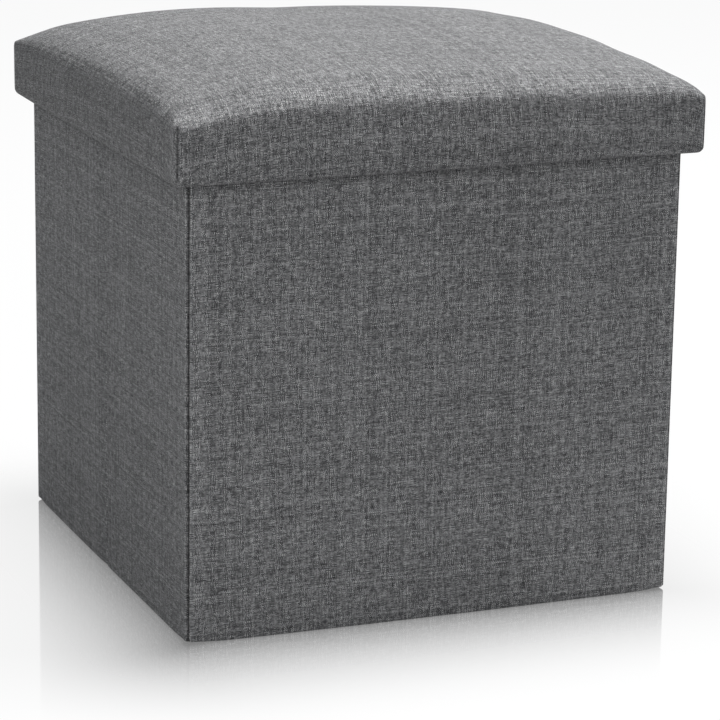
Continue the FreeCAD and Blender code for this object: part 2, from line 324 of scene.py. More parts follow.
def cover_relief(s, z):
    """How far the outer fabric lies under the plane of its wall."""
    x, y, _ = BODY.at(s)
    to_seam = BODY.from_seam(s)
    depth = 0.30 * MM * ripple(x, y, z, 70 * MM, 1) + 0.10 * MM * ripple(x, y, z, 21 * MM, 2)
    depth *= ramp(to_seam, 2 * MM, 12 * MM)
    depth += seam_groove(to_seam, 1.6 * MM, 1.3 * MM, 0.35 * MM)
    if on_side_wall(s):
        # The fold line is creased, and the cloth behind it still leans in from being folded.
        leaning, crease = 22 * MM, 2.4 * MM
        behind = y - 1.2 * MM * ripple(0, 0, z, 60 * MM, 3)
        if 0 <= behind < leaning:
            depth += 0.85 * MM * (1 - behind / leaning) ** 1.5
        depth += 1.2 * MM * max(0.0, 1 - abs(behind) / crease)
        depth = min(depth, 1.0 * MM if abs(y) > 3.5 * MM else 2 * MM)
        # A long wrinkle comes down and forward from the top of the rear corner.
        off = y - (HALF - 3 * MM) + 0.38 * (LID_LOW - z)
        wrinkle = 0.5 * MM * math.exp(-(off / (6 * MM)) ** 2)
        depth -= wrinkle * ramp(z, LID_LOW - 150 * MM, LID_LOW - 60 * MM)
    elif to_seam > 5 * MM and y < 0:
        # The floor board pushes the front out a little at the bottom.
        depth -= 1.8 * MM * (1 - (x / HALF) ** 2) * (1 - ramp(z, 0, 130 * MM))
    return depth


def lining_relief(s, z):
    """How far the lining stands off its plane into the cube; it is tucked in at the fold line."""
    x, y, _ = BODY.at(s)
    puff = 0.25 * MM * ripple(x, y, z, 45 * MM, 5) + 0.1 * MM * ripple(x, y, z, 16 * MM, 6)
    puff *= ramp(FOLD_LOW - z, 0, 20 * MM) * ramp(BODY.from_seam(s), 8 * MM, 18 * MM)
    if on_side_wall(s):
        puff -= (LINING_FACE - 2 * MM) * max(0.0, 1 - abs(y) / (2.2 * MM))
    return puff


# --- sections of a wall's pieces -------------------------------------------------------------

def cover_section():
    """Outer fabric: up the wall, over its top edge and a little way down inside."""
    rows = [(0, z, z, "face") for z in np.linspace(HEM_TOP, WALL_TOP - FOLD_ROLL, 44)]
    v = WALL_TOP - FOLD_ROLL
    for a in np.linspace(0, math.pi / 2, 5)[1:]:
        rows.append((FOLD_ROLL * (1 - math.cos(a)), WALL_TOP - FOLD_ROLL * (1 - math.sin(a)),
                     v + FOLD_ROLL * a, "fixed"))
    v += FOLD_ROLL * math.pi / 2 + FOLD_FACE - 2 * FOLD_ROLL
    for a in np.linspace(0, math.pi / 2, 5):
        rows.append((FOLD_FACE - FOLD_ROLL * (1 - math.sin(a)),
                     WALL_TOP - FOLD_ROLL * (1 - math.cos(a)), v + FOLD_ROLL * a, "fixed"))
    v += FOLD_ROLL * math.pi / 2
    rows.append((FOLD_FACE, FOLD_LOW, v + WALL_TOP - FOLD_ROLL - FOLD_LOW, "fixed"))
    back, top = LINING_FACE - 0.3 * MM, WALL_TOP - 1.1 * MM
    rows += [(back, FOLD_LOW, 0, "fixed"), (back, top, 0, "fixed")]
    return rows + [(BOARD_FACE, top, 0, "under"), (BOARD_FACE, HEM_TOP, 0, "under")]


def lining_section():
    """Lining: up the board's inner face, its top end sewn in behind the turned-down fabric."""
    rows = [(LINING_FACE, z, z, "face") for z in np.linspace(HEM_TOP, FOLD_LOW - 2 * MM, 38)]
    sewn, top = LINING_FACE - 0.45 * MM, WALL_TOP - 3 * MM
    rows += [(sewn, FOLD_LOW, FOLD_LOW, "fixed"), (sewn, top, top, "fixed")]
    back = LINING_BACK - 0.1 * MM
    return rows + [(back, top, top, "tuck"), (back, HEM_TOP, HEM_TOP, "tuck")]


def hem_section():
    """Fabric turned under the wall, rounded below."""
    roll = 1.4 * MM
    rows = [(0, HEM_TOP, HEM_TOP, "face"), (0, 0.5 * HEM_TOP, 0.5 * HEM_TOP, "face")]
    for a in np.linspace(0, math.pi / 2, 5):
        rows.append((roll * (1 - math.cos(a)), roll * (1 - math.sin(a)), roll * (1 - a), "face"))
    for a in np.linspace(math.pi / 2, 0, 4):
        depth = LINING_FACE - roll * (1 - math.cos(a))
        rows.append((depth, roll * (1 - math.sin(a)), -depth, "fixed"))
    return rows + [(LINING_FACE, HEM_TOP, -LINING_FACE - HEM_TOP, "fixed")]


def draw_up_corners(hem):
    """The hem rides up a little at the body's corners."""
    for vertex in hem.data.vertices:
        x, y, z = vertex.co
        from_corner = math.hypot(HALF - abs(x), HALF - abs(y))
        vertex.co.z += 1.5 * MM * math.exp(-(from_corner / (16 * MM)) ** 2) * (1 - z / HEM_TOP)


# --- materials -------------------------------------------------------------------------------

class Nodes:
    """Short calls that add nodes to a node tree."""

    def __init__(self, tree):
        self.tree = tree

    def node(self, kind, *values, **named):
        """values are for its first inputs, and named ones for its properties and other inputs."""
        made = self.tree.nodes.new(f"ShaderNode{kind}")
        inputs = dict(enumerate(values))
        for name, value in named.items():
            if hasattr(made, name):
                setattr(made, name, value)
            else:
                inputs[name.replace("_", " ")] = value
        for key, value in inputs.items():
            self.put(made.inputs[key], value)
        return made

    def put(self, socket, value):
        if isinstance(value, bpy.types.NodeSocket):
            self.tree.links.new(value, socket)
        else:
            socket.default_value = value

    def math(self, operation, *values):
        return self.node("Math", *values, operation=operation).outputs[0]

    def times(self, first, second):
        return self.math("MULTIPLY", first, second)

    def scaled(self, value, factor, offset):
        return self.math("MULTIPLY_ADD", value, factor, offset)

    def shown(self):
        """1 on the rays that show a thing: straight to the camera, mirrored or through glass."""
        rays = self.node("LightPath").outputs
        straight_or_mirrored = self.math("MAXIMUM", rays["Is Camera Ray"], rays["Is Glossy Ray"])
        return self.math("MAXIMUM", straight_or_mirrored, rays["Is Transmission Ray"])


class Finish(Nodes):
    """Material with a principled surface."""

    def __init__(self, name, roughness=0.9):
        self.material = bpy.data.materials.new(name)
        self.material.use_nodes = True
        super().__init__(self.material.node_tree)
        self.tree.nodes.clear()
        self.surface = self.node("BsdfPrincipled", Roughness=roughness)
        self.output = self.node("OutputMaterial", Surface=self.surface.outputs[0])

    def vector(self, x, y, z=0.0):
        return self.node("CombineXYZ", x, y, z).outputs[0]

    def split(self, vector):
        return self.node("SeparateXYZ", Vector=vector).outputs[:3]

    def noise(self, place, scale, detail=2.0):
        return self.node("TexNoise", Vector=place, Scale=scale, Detail=detail).outputs["Fac"]

    def random(self, place):
        return self.node("TexWhiteNoise", Vector=place).outputs["Value"]

    def between(self, share, colours):
        """Colour ramp; colours are (place, (r, g, b))."""
        made = self.node("ValToRGB", Fac=share)
        elements = made.color_ramp.elements
        while len(elements) < len(colours):
            elements.new(0.5)
        for element, (place, colour) in zip(elements, colours):
            element.position = place
            element.color = (*colour, 1)
        return made.outputs[0]

    def dim(self, colour, share):
        """colour times share."""
        return self.node("VectorMath", operation="SCALE", Vector=colour, Scale=share).outputs[0]

    def mix(self, share, first, second):
        return self.node("MixShader", share, first.outputs[0], second.outputs[0])

    def cloth_place(self):
        return self.node("UVMap", uv_map="cloth").outputs[0]

    def bump(self, height, distance, strength):
        made = self.node("Bump", Height=height, Distance=distance, Strength=strength)
        self.set(Normal=made.outputs[0])

    def set(self, **values):
        for name, value in values.items():
            self.put(self.surface.inputs[name.replace("_", " ")], value)


def yarn_tone(f, yarn, run, seed):
    """About 0 to 1 along one yarn: its own tone, long slubs in it and short flecks."""
    slub_length, fleck_length = 8.0, 2.0
    own = f.random(f.vector(yarn, 0.5, seed))
    slub = f.noise(f.vector(f.times(yarn, 3.7), f.math("DIVIDE", run, slub_length), seed), 1.0)
    fleck = f.random(f.vector(yarn, f.math("FLOOR", f.math("DIVIDE", run, fleck_length)), seed + 1.0))
    return f.math("ADD", f.scaled(own, 0.22, f.scaled(slub, 1.3, -0.44)), f.times(fleck, 0.25))


def linen_finish():
    """Plain weave of uneven yarns: pale ones run along the cloth and darker ones across it."""
    yarn_width = 0.75 * MM
    f = Finish("linen_fabric")
    cloth = f.cloth_place()
    x, y, _ = f.split(cloth)
    drift = f.math("SUBTRACT", f.noise(cloth, 38.0), 0.5)
    x = f.scaled(drift, 1.2, f.math("DIVIDE", x, yarn_width))
    y = f.scaled(drift, -1.2, f.math("DIVIDE", y, yarn_width))
    warp, weft = f.math("FLOOR", x), f.math("FLOOR", y)
    over = f.math("FLOORED_MODULO", f.math("ADD", warp, weft), 2.0)
    tones = f.node("Mix", data_type="FLOAT", Factor=over, A=yarn_tone(f, weft, x, 11.0),
                   B=yarn_tone(f, warp, y, 3.0))
    colour = f.between(tones.outputs[0], [
        (0.05, (0.036, 0.036, 0.038)), (0.35, (0.155, 0.155, 0.159)),
        (0.60, (0.405, 0.405, 0.410)), (0.90, (0.80, 0.80, 0.79)),
    ])
    round_x, round_y = (f.math("SINE", f.times(f.math("FRACT", run), math.pi)) for run in (x, y))
    height = f.math("SQRT", f.times(round_x, round_y))
    shade = f.scaled(height, 0.6, 0.45)
    mottle = f.scaled(f.noise(cloth, 16.0, 3.0), 0.16, 0.92)
    # The "seam" attribute holds painted shade: dark in the seams' grooves and round the lid's sides, with a
    # painted highlight beside the seams.
    seam = f.node("Attribute", attribute_name="seam").outputs["Fac"]
    painted_shade = f.scaled(seam, -0.6, 1.0)
    f.set(Base_Color=f.dim(colour, f.times(f.times(shade, mottle), painted_shade)), Sheen_Weight=0.05,
          Sheen_Roughness=0.45, Sheen_Tint=(0.8, 0.8, 0.8, 1), Specular_IOR_Level=0.2)
    fuzz = f.noise(cloth, 2600.0)
    f.bump(f.scaled(fuzz, 0.25, height), 0.2 * MM, 0.5)
    return f.material


def lining_finish():
    """Black spun-bonded cloth with its grid of pressed dots."""
    dot = 1.9 * MM
    f = Finish("nonwoven_lining", roughness=0.75)
    cloth = f.cloth_place()
    x, y, _ = f.split(cloth)
    x, y = f.math("DIVIDE", x, dot), f.math("DIVIDE", y, dot)
    a, b = (f.math("SINE", f.times(f.math(sum_or_difference, x, y), math.pi))
            for sum_or_difference in ("ADD", "SUBTRACT"))
    pressed = f.math("POWER", f.math("ABSOLUTE", f.times(a, b)), 3.0)
    fibre = f.noise(f.vector(f.times(x, 0.6), f.times(y, 2.4)), 3.0, 6.0)
    cloud = f.noise(cloth, 45.0, 3.0)
    tone = f.scaled(pressed, -0.5, f.scaled(cloud, 0.5, fibre))
    colour = f.between(tone, [(0.35, (0.014, 0.014, 0.015)), (1.0, (0.105, 0.105, 0.108))])
    f.set(Base_Color=colour, Sheen_Weight=0.2, Sheen_Roughness=0.5)
    f.bump(f.scaled(pressed, -0.6, f.times(fibre, 0.5)), 0.15 * MM, 0.8)
    return f.material


def board_finish():
    """Bare fibreboard: pressed fibres and dark specks."""
    f = Finish("fibreboard", roughness=0.7)
    place = f.node("TexCoord").outputs["Object"]
    fibres = f.noise(place, 900.0, 6.0)
    specks = f.noise(place, 2600.0, 1.0)
    colour = f.between(fibres, [(0.3, (0.20, 0.125, 0.07)), (0.7, (0.42, 0.28, 0.17))])
    f.set(Base_Color=f.dim(colour, f.scaled(specks, 0.5, 0.75)))
    f.bump(fibres, 0.1 * MM, 0.5)
    return f.material


def foam_finish():
    """Open-cell foam."""
    f = Finish("foam", roughness=0.95)
    place = f.node("TexCoord").outputs["Object"]
    size = f.node("TexVoronoi", Vector=place, Scale=1400.0).outputs["Distance"]
    # Darker in the middles of the cells, where the bump sinks: painted shade in the pores.
    f.set(Base_Color=f.between(size, [(0.0, (0.55, 0.5, 0.38)), (0.6, (0.88, 0.84, 0.7))]))
    f.bump(size, 0.3 * MM, 0.7)
    return f.material


def ribbon_finish():
    """Black grosgrain: fine ribs across the ribbon."""
    f = Finish("ribbon", roughness=0.6)
    x, y, _ = f.split(f.cloth_place())
    rib, yarn = 0.9 * MM, 0.4 * MM
    ribs = f.math("SINE", f.times(y, 2 * math.pi / rib))
    yarns = f.random(f.vector(f.math("FLOOR", f.math("DIVIDE", x, yarn)), 0.0))
    # Darker in the troughs between the ribs, where the bump sinks: painted shade.
    tone = f.scaled(ribs, 0.25, f.times(yarns, 0.5))
    f.set(Base_Color=f.between(tone, [(0.0, (0.014, 0.014, 0.015)), (0.8, (0.06, 0.06, 0.064))]),
          Sheen_Weight=0.3)
    f.bump(ribs, 0.15 * MM, 0.7)
    return f.material


def thread_finish():
    """Grey sewing thread, twisted."""
    f = Finish("sewing_thread", roughness=0.55)
    place = f.node("TexCoord").outputs["Object"]
    twist = f.noise(place, 3200.0, 1.0)
    f.set(Base_Color=f.between(twist, [(0.3, (0.10, 0.10, 0.105)), (0.7, (0.26, 0.26, 0.265))]))
    f.bump(twist, 0.1 * MM, 0.6)
    return f.material


LINEN = linen_finish()
LINING = lining_finish()
BOARD = board_finish()
FOAM = foam_finish()
RIBBON = ribbon_finish()
THREAD = thread_finish()

FINISHES = {"linen_fabric": LINEN, "nonwoven_lining": LINING, "fibreboard": BOARD, "foam": FOAM,
            "ribbon": RIBBON}
for part in frame["record"]["subparts"]:
    materials = frame["nodes"][part["node"]].data.materials
    for number in range(len(materials)):
        materials[number] = FINISHES[part["material_slot"]]


# --- walls -----------------------------------------------------------------------------------

def dress(piece, how, replaced=()):
    """how is the body that the piece rides on, or two bodies and the points of a bend between them; a piece given
    two bodies keeps its place as made and does not bend.
    """
    if replaced:
        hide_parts(*replaced)
    if isinstance(how, str):
        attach(piece, how)
    else:
        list(how)
        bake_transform(piece)


def turn_at(first, second, x, y):
    """Two bodies and the points a little way before and past the fold at x, y between them."""
    soft = 5 * MM
    return first, second, (x, y - soft, 0), (x, y + soft, 0)


FRONT_LEFT = turn_at("front_wall", "left_front_panel", -HALF, -PIVOT_Y)
LEFT_FOLD = turn_at("left_front_panel", "left_rear_panel", -HALF, 0)
REAR_LEFT = turn_at("left_rear_panel", "rear_wall", -HALF, PIVOT_Y)
RIGHT_FOLD = turn_at("right_front_panel", "right_rear_panel", HALF, 0)
REAR_RIGHT = turn_at("right_rear_panel", "rear_wall", HALF, PIVOT_Y)

# Outer fabric: name, start and end along the outline, the CAD nodes that it stands for, its motion.
COVERS = [
    ("front_wall", -SEAM, SEAM, ["front_wall_cover"], "front_wall"),
    ("front_right_corner", SEAM, PIVOT - 0.1 * MM, ["front_right_corner"], "front_wall"),
    ("right_side", PIVOT, REAR - JOIN, ["right_front_panel_cover", "right_rear_panel_cover"],
     RIGHT_FOLD),
    ("rear_right_corner", REAR - JOIN, REAR - SEAM, ["rear_right_corner"], REAR_RIGHT),
    ("rear_wall", REAR - SEAM, REAR + SEAM, ["rear_wall_cover"], "rear_wall"),
    ("rear_left_corner", REAR + SEAM, REAR + JOIN, ["rear_left_corner"], REAR_LEFT),
    ("left_side", REAR + JOIN, 4 * SIDE - JOIN, ["left_rear_panel_cover", "left_front_panel_cover"],
     LEFT_FOLD),
    ("front_left_corner", 4 * SIDE - JOIN, 4 * SIDE - SEAM, ["front_left_corner"], FRONT_LEFT),
]
CLEAR = PIVOT + 0.15 * MM           # a side lining's ends stay clear of its neighbours as it turns
LININGS = [
    ("front_wall", -PIVOT, PIVOT, ["front_wall_lining"], "front_wall"),
    ("right_side", CLEAR, REAR - CLEAR, ["right_front_panel_lining", "right_rear_panel_lining"],
     RIGHT_FOLD),
    ("rear_wall", REAR - PIVOT, REAR + PIVOT, ["rear_wall_lining"], "rear_wall"),
    ("left_side", REAR + CLEAR, 4 * SIDE - CLEAR, ["left_rear_panel_lining", "left_front_panel_lining"],
     LEFT_FOLD),
]
HEMS = [
    ("front_wall", -PIVOT, PIVOT), ("right_front_panel", PIVOT, SIDE),
    ("right_rear_panel", SIDE, REAR - PIVOT), ("rear_wall", REAR - PIVOT, REAR + PIVOT),
    ("left_rear_panel", REAR + PIVOT, 3 * SIDE), ("left_front_panel", 3 * SIDE, 4 * SIDE - PIVOT),
]


def edge_stitches(name, start, end, how):
    """Two rows of stitches under the top edge: through the outer face and the turned-down fabric."""
    pitch, length, margin = 3.4 * MM, 2.5 * MM, 2 * MM
    ends = []
    for s in np.arange(start + margin, end - margin - length, pitch):
        if BODY.from_seam(s + length / 2) > 6 * MM:
            for depth, side in ((cover_relief(s, STITCH_Z), 1), (FOLD_FACE - 0.1 * MM, -1)):
                first, last = BODY.at(s, depth), BODY.at(s + length, depth)
                if depth < CORNER or BODY.from_seam(s) > 12 * MM:
                    out = side * first[2].to_3d()
                    ends.append(((*first[:2], STITCH_Z), (*last[:2], STITCH_Z), out))
    if ends:
        dress(stitches(f"{name}_edge_stitches", ends, 0.22 * MM), how)


def walls():
    section = cover_section()
    for name, start, end, replaced, how in COVERS:
        cover = sweep(f"{name}_fabric", start, end, section, cover_relief, LINEN)
        paint_shade(cover, body_seam_shade)
        dress(cover, how, replaced)
        boards = [node.replace("_cover", "_board") for node in replaced if node.endswith("_cover")]
        edge_stitches(name, start, end, how)
    for name, start, end, replaced, how in LININGS:
        lining = sweep(f"{name}_inside", start, end, lining_section(), lining_relief, LINING)
        dress(lining, how, replaced)
        boards = [node.replace("_lining", "_board") for node in replaced]
    for body, start, end in HEMS:
        hem = sweep(f"{body}_hem_fabric", start, end, hem_section(), cover_relief, LINEN)
        draw_up_corners(hem)
        paint_shade(hem, body_seam_shade)
        dress(hem, body, [f"{body}_hem"])
        if body != "rear_wall":
            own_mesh(hem)


def open_corner_turn():
    """Fabric round the front wall's right pivot, seen in the gap when the side wall is folded in."""
    radius, thick = LINING_FACE - 0.4 * MM, 0.8 * MM
    first, last = -8, 84            # degrees round the pivot
    angles = np.radians(np.linspace(first, last, 12))
    heights = np.linspace(HEM_TOP, WALL_TOP - 0.6 * MM, 24)

    def place(a, z, side):
        r = radius - thick * (1 - side)
        turn = a / radius
        return HALF - LINING_FACE + r * math.cos(turn), r * math.sin(turn) - PIVOT_Y, z

    turn = slab("front_right_corner_turn", angles * radius, heights, place, LINEN)
    dress(turn, "front_wall")


walls()
open_corner_turn()


# --- floor of the cube -----------------------------------------------------------------------

def floor_cloth(side, wrinkle, seed):
    """Cloth sewn round the floor board: its upper or lower face, with the edges turned in."""
    node = f"floor_{side}_cloth"
    base, top = low(node), high(node)
    corner = 5 * MM

    def place(x, y, upper):
        over, past = abs(x) - (top.x - corner), base.y + corner - y
        if over > 0 and past > 0:
            drawn = max(over, past) / math.hypot(over, past)
            x = math.copysign(top.x - corner + over * drawn, x)
            y = base.y + corner - past * drawn
        edge = min(top.x - abs(x), top.y - y, y - base.y)
        tuck = 0.25 * (top.z - base.z) * (1 - ramp(edge, 0, MM))
        if not upper:
            return x, y, base.z + tuck
        lift = 0.5 + ripple(x, y, 0, 60 * MM, seed) + 0.4 * ripple(x, y, 0, 17 * MM, seed)
        return x, y, top.z - tuck + wrinkle * max(0.0, lift) * ramp(edge, 3 * MM, 25 * MM)

    shares = np.sin(0.5 * math.pi * np.linspace(-1, 1, 61))
    columns = shares * top.x
    rows = (base.y + top.y) / 2 + shares * (top.y - base.y) / 2
    cloth = slab(f"floor_cloth_{side}", columns, rows, place, LINING)
    dress(cloth, "floor", [node])


def floor_edge():
    """The same cloth round the left, front and right edges of the floor board."""
    base, top = low("floor_board"), high("floor_board")
    border, thick = Outline(top.x, 5 * MM), 0.45 * MM
    forward = top.x + base.y
    end = border.side + top.y - forward

    def place(a, z, outer):
        x, y, _ = border.at(math.copysign(min(abs(a), border.side), a), -thick * outer)
        past = max(0.0, abs(a) - border.side)
        return x, y + forward + past, z

    bottom, above = low("floor_bottom_cloth").z + 0.1 * MM, high("floor_top_cloth").z - 0.1 * MM
    spots = spots_between(-end, end, [sign * border.side / 2 for sign in (-1, 1)])
    strip = slab("floor_cloth_edge", spots, np.linspace(bottom, above, 5), place, LINING)
    dress(strip, "floor")


def floor_hinge():
    """Strip of cloth from the floor board to the rear wall."""
    base, top = low("floor_hinge_cloth"), high("floor_hinge_cloth")

    def place(a, b, upper):
        sag = 0.35 * MM * math.sin(math.pi * (b - base.y) / (top.y - base.y))
        return a, b, top.z - sag - (0.0 if upper else 0.9 * MM)

    strip = slab("floor_hinge_strip", np.linspace(base.x, top.x, 61), np.linspace(base.y, top.y, 9),
                 place, LINING)
    bend = ("floor", "rear_wall", (0, base.y, top.z), (0, top.y, top.z))
    dress(strip, bend, ["floor_hinge_cloth"])


def pull_tab():
    """Ribbon folded double, its loop standing a little open, sewn down at the front edge."""
    base, top = low("floor_pull_tab"), high("floor_pull_tab")
    thick, length = 0.42 * MM, top.y - base.y
    bend = (top.z - base.z - thick) / 2
    straight = length - bend - thick / 2
    total = 2 * straight + math.pi * bend
    sewn = 15 * MM / straight

    def middle(run):
        """Point y, z of the ribbon's middle and the direction of its upper side, run along it."""
        if run <= straight:
            return base.y + run, base.z + thick / 2, (0, -1)
        if run < total - straight:
            turn = (run - straight) / bend
            out = math.sin(turn), -math.cos(turn)
            return base.y + straight + bend * out[0], base.z + thick / 2 + bend * (1 + out[1]), out
        share = (total - run) / straight
        open_by = 0.35 * MM * math.sin(math.pi * max(0.0, share - sewn) / (1 - sewn))
        return base.y + total - run, top.z - thick / 2 + open_by, (0, 1)

    def place(a, b, upper):
        y, z, out = middle(b)
        edge = thick / 2 * (0.5 if abs(a) > top.x - 0.4 * MM else 1) * (1 if upper else -1)
        return a, y + edge * out[0], z + edge * out[1]

    columns = top.x * np.array([-1, -0.96, -0.5, 0, 0.5, 0.96, 1])
    turns = straight + math.pi * bend * np.linspace(0, 1, 9)
    rows = [*np.linspace(0, straight, 16)[:-1], *turns, *np.linspace(total - straight, total, 16)[1:]]
    tab = slab("pull_tab", columns, rows, place, RIBBON)
    dress(tab, "floor", ["floor_pull_tab"])

    # Sewn down with a crossed square.
    pitch, margin, z = 2.6 * MM, 3 * MM, top.z - 0.17 * MM
    right, near, far = top.x - margin, base.y + margin, base.y + 14 * MM
    square = ((-right, near), (right, near), (right, far), (-right, far))
    corners = [Vector((x, y, z)) for x, y in square]
    ends = []
    for start, end in (*zip(corners, corners[1:] + corners[:1]), corners[::2], corners[1::2]):
        count = round((end - start).length / pitch)
        for k in range(count):
            first, last = (start.lerp(end, (k + share) / count) for share in (0.1, 0.9))
            ends.append((first, last, (0, 0, 1)))
    dress(stitches("tab_stitches", ends, 0.2 * MM), "floor")


for side, wrinkle, seed in (("top", 0.5 * MM, 12), ("bottom", 0.0, 13)):
    floor_cloth(side, wrinkle, seed)
floor_edge()
floor_hinge()
pull_tab()


# --- lid -------------------------------------------------------------------------------------

LID = Outline(LID_HALF, LID_CORNER)
CELLS = 24                      # grid steps from the middle of the lid to each side
RISE = CROWN - SHOULDER


def front_share(y):
    """0 at the lid's rear, and 1 from a little before its middle on to the front."""
    return ramp(-y / LID_HALF, -0.9, 0.2)


def pillow_z(x, y):
    """Height of the stuffed top: a low dome that turns over sharply into the sides."""
    u, v = (min(1.0, abs(place) / LID_HALF) for place in (x, y))
    flatness, sag, corner_sag, right_rise = 12, 8.5 * MM, 5 * MM, 5 * MM
    edge_u, edge_v = (max(0.0, 1 - place ** flatness) ** (1 / 3) for place in (u, v))
    uneven = right_rise * max(0.0, x / LID_HALF) ** 2 * (0.6 - 0.4 * y / LID_HALF)
    drop = sag * (u * u + v * v) + corner_sag * (u * v) ** 2
    lift = 0.0
    if x < 0:
        # The left side is softer: high and rolled over widely at the front, and sunk at the rear.
        bulge, sink, rise, roll = 3.3 * MM, 4 * MM, 15 * MM, 0.34
        front = front_share(y)
        uneven += bulge * math.sin(math.pi * u) - sink * (1 - front) * ramp(u, 0.82, 0.98)
        wide = (1 - max(0.0, (u - 1 + roll) / roll) ** 2) ** 0.75
        edge_u += front * (wide - edge_u)
        lift = rise * front * (1 - v ** 8) * ramp(u, 0.3, 0.9)
    edge = edge_u * edge_v
    return SHOULDER + lift * (1 - edge) + (RISE + uneven - drop) * edge


def grid_share(step):
    """-1 to 1 for a step from -CELLS to CELLS, closer together towards the sides."""
    steep = 0.97 * math.pi / 2
    return math.sin(step / CELLS * steep) / math.sin(steep)


def ring_place(i, j):
    """Side number and steps along it for a place on its square ring of the grid."""
    m = max(abs(i), abs(j))
    if j == -m and i < m:
        return 0, i
    if i == m and j < m:
        return 1, j
    if j == m and i > -m:
        return 2, -i
    return 3, -j


def lid_grid_point(i, j):
    """Place x, y of a grid place: its rings are squares with rounded corners."""
    m = max(abs(i), abs(j))
    if m == 0:
        return 0.0, 0.0
    side, step = ring_place(i, j)
    share = grid_share(m)
    ring = Outline(LID_HALF * share, LID_CORNER * share ** 8 + 0.1 * MM)
    x, y, _ = ring.at((side + grid_share(step) / share / 2) * ring.side)
    return x, y


def lid_side_rows():
    """Rows down the outside, round the lower edge, under the rim and up its inner side.

    Each row is (depth, z, cloth length from the shoulder).
    """
    lip, cloth = 4.2 * MM, 1.2 * MM
    rows = [(0.0, z, SHOULDER - z) for z in np.linspace(SHOULDER, LID_LOW + lip, 7)[1:]]
    length = SHOULDER - LID_LOW - lip
    for a in np.linspace(0, math.pi / 2, 6)[1:]:
        rows.append((lip * (1 - math.cos(a)), LID_LOW + lip * (1 - math.sin(a)), length + lip * a))
    length += lip * math.pi / 2
    inner = LID_HALF - MOUTH
    rows.append((inner - cloth, LID_LOW + 0.05 * MM, length + inner - cloth - lip))
    rows.append((inner, LID_LOW + cloth, length + inner - lip))
    top = CEILING + 0.6 * MM
    for z in np.linspace(LID_LOW + cloth, top, 5)[1:]:
        rows.append((inner, z, length + inner - lip + z - LID_LOW - cloth))
    return rows


def lid_side_point(s, depth, z):
    """Place on the lid's side: it bulges a little, and its lower edge isn't quite straight."""
    wave = 0.4 * MM * noise.noise(Vector((s / (45 * MM), 0, 7.7)))
    bulge = 1.8 * MM * math.cos(math.pi * (s / LID.side - round(s / LID.side)))
    bulge *= max(0.0, math.sin(math.pi * (z - LID_LOW) / (SHOULDER - LID_LOW))) ** 1.5
    x, y, _ = LID.at(s, depth - (bulge if depth < MM else 0.0))
    droop = wave - 1.0 * MM * (1 - x / LID_HALF)
    droop *= 1 - ramp(z, LID_LOW, LID_LOW + 25 * MM)
    return x, y, z + droop


def lengths_over(grid, axis):
    """Lengths over a grid of points along one of its axes, measured from its middle line."""
    steps = np.diff(grid, axis=axis)
    run = np.cumsum(np.hypot(steps[..., axis], steps[..., 2]), axis=axis)
    run = np.insert(run, 0, 0.0, axis=axis)
    return run - np.take(run, [CELLS], axis=axis)


def lid_cushion_mesh():
    """Points, faces and cloth coordinates of the cushion: its top, its sides and its underside."""
    steps = range(-CELLS, CELLS + 1)
    points = []

    def add(x, y, z):
        points.append((x, y, z))
        return len(points) - 1

    top = {}
    for i in steps:
        for j in steps:
            x, y = lid_grid_point(i, j)
            top[i, j] = add(x, y, pillow_z(x, y))
    grid = np.reshape(points, (len(steps), len(steps), 3))
    cloth = np.stack([lengths_over(grid, 0), lengths_over(grid, 1)], axis=-1).reshape(-1, 2).tolist()

    edge = rim_places(-CELLS, CELLS, CELLS)
    count = len(edge)
    rows = lid_side_rows()
    rings = [[top[place] for place in edge]]

    def raised(place, z):
        """How much higher the side's row at z is where the shoulder is high."""
        return (points[top[place]][2] - SHOULDER) * ramp(z, LID_LOW + 8 * MM, SHOULDER)

    for depth, row_z, _ in rows:
        ring = []
        for place in edge:
            side, step = ring_place(*place)
            x, y, z = lid_side_point((side + grid_share(step) / 2) * LID.side, depth, row_z)
            ring.append(add(x, y, z + raised(place, row_z)))
        rings.append(ring)
    faces, uvs = [], []

    def add_quads(index, turned):
        for i in range(-CELLS, CELLS):
            for j in range(-CELLS, CELLS):
                face = [index[corner] for corner in cell(i, j)]
                faces.append(face[::-1] if turned else face)
                uvs.extend(cloth[k] if k < len(cloth) else points[k][:2] for k in faces[-1])

    def side_uv(column, row, side):
        """Cloth coordinates that carry on from the top down one side."""
        place = edge[column % count]
        u, v = cloth[top[place]]
        length = 0.0
        if row:
            _, z, nominal = rows[row - 1]
            length = nominal + raised(place, SHOULDER) - raised(place, z)
        return ((u, v - length), (u + length, v), (u, v + length), (u - length, v))[side]

    add_quads(top, False)
    for row in range(len(rings) - 1):
        for column in range(count):
            side, following = column // (2 * CELLS), (column + 1) % count
            faces.append([rings[row][column], rings[row + 1][column], rings[row + 1][following],
                          rings[row][following]])
            uvs += [side_uv(column, row, side), side_uv(column, row + 1, side),
                    side_uv(column + 1, row + 1, side), side_uv(column + 1, row, side)]
    ceiling = dict(zip(edge, rings[-1]))
    for i in steps[1:-1]:
        for j in steps[1:-1]:
            ceiling[i, j] = add(MOUTH * grid_share(i), MOUTH * grid_share(j), rows[-1][1])
    add_quads(ceiling, True)
    return points, faces, uvs


def places_of(piece):
    return np.array([vertex.co for vertex in piece.data.vertices])


def put_places(piece, places):
    for vertex, place in zip(piece.data.vertices, places):
        vertex.co = place


def relax(piece, values, share, times):
    """Move each point's value towards its neighbours' mean by that share, so many times over."""
    ends = np.array([edge.vertices for edge in piece.data.edges])
    neighbours = np.bincount(ends.ravel(), minlength=len(values))[:, None]
    for _ in range(times):
        total = np.zeros_like(values)
        np.add.at(total, ends[:, 0], values[ends[:, 1]])
        np.add.at(total, ends[:, 1], values[ends[:, 0]])
        values = values + share * (total / neighbours - values)
    return values


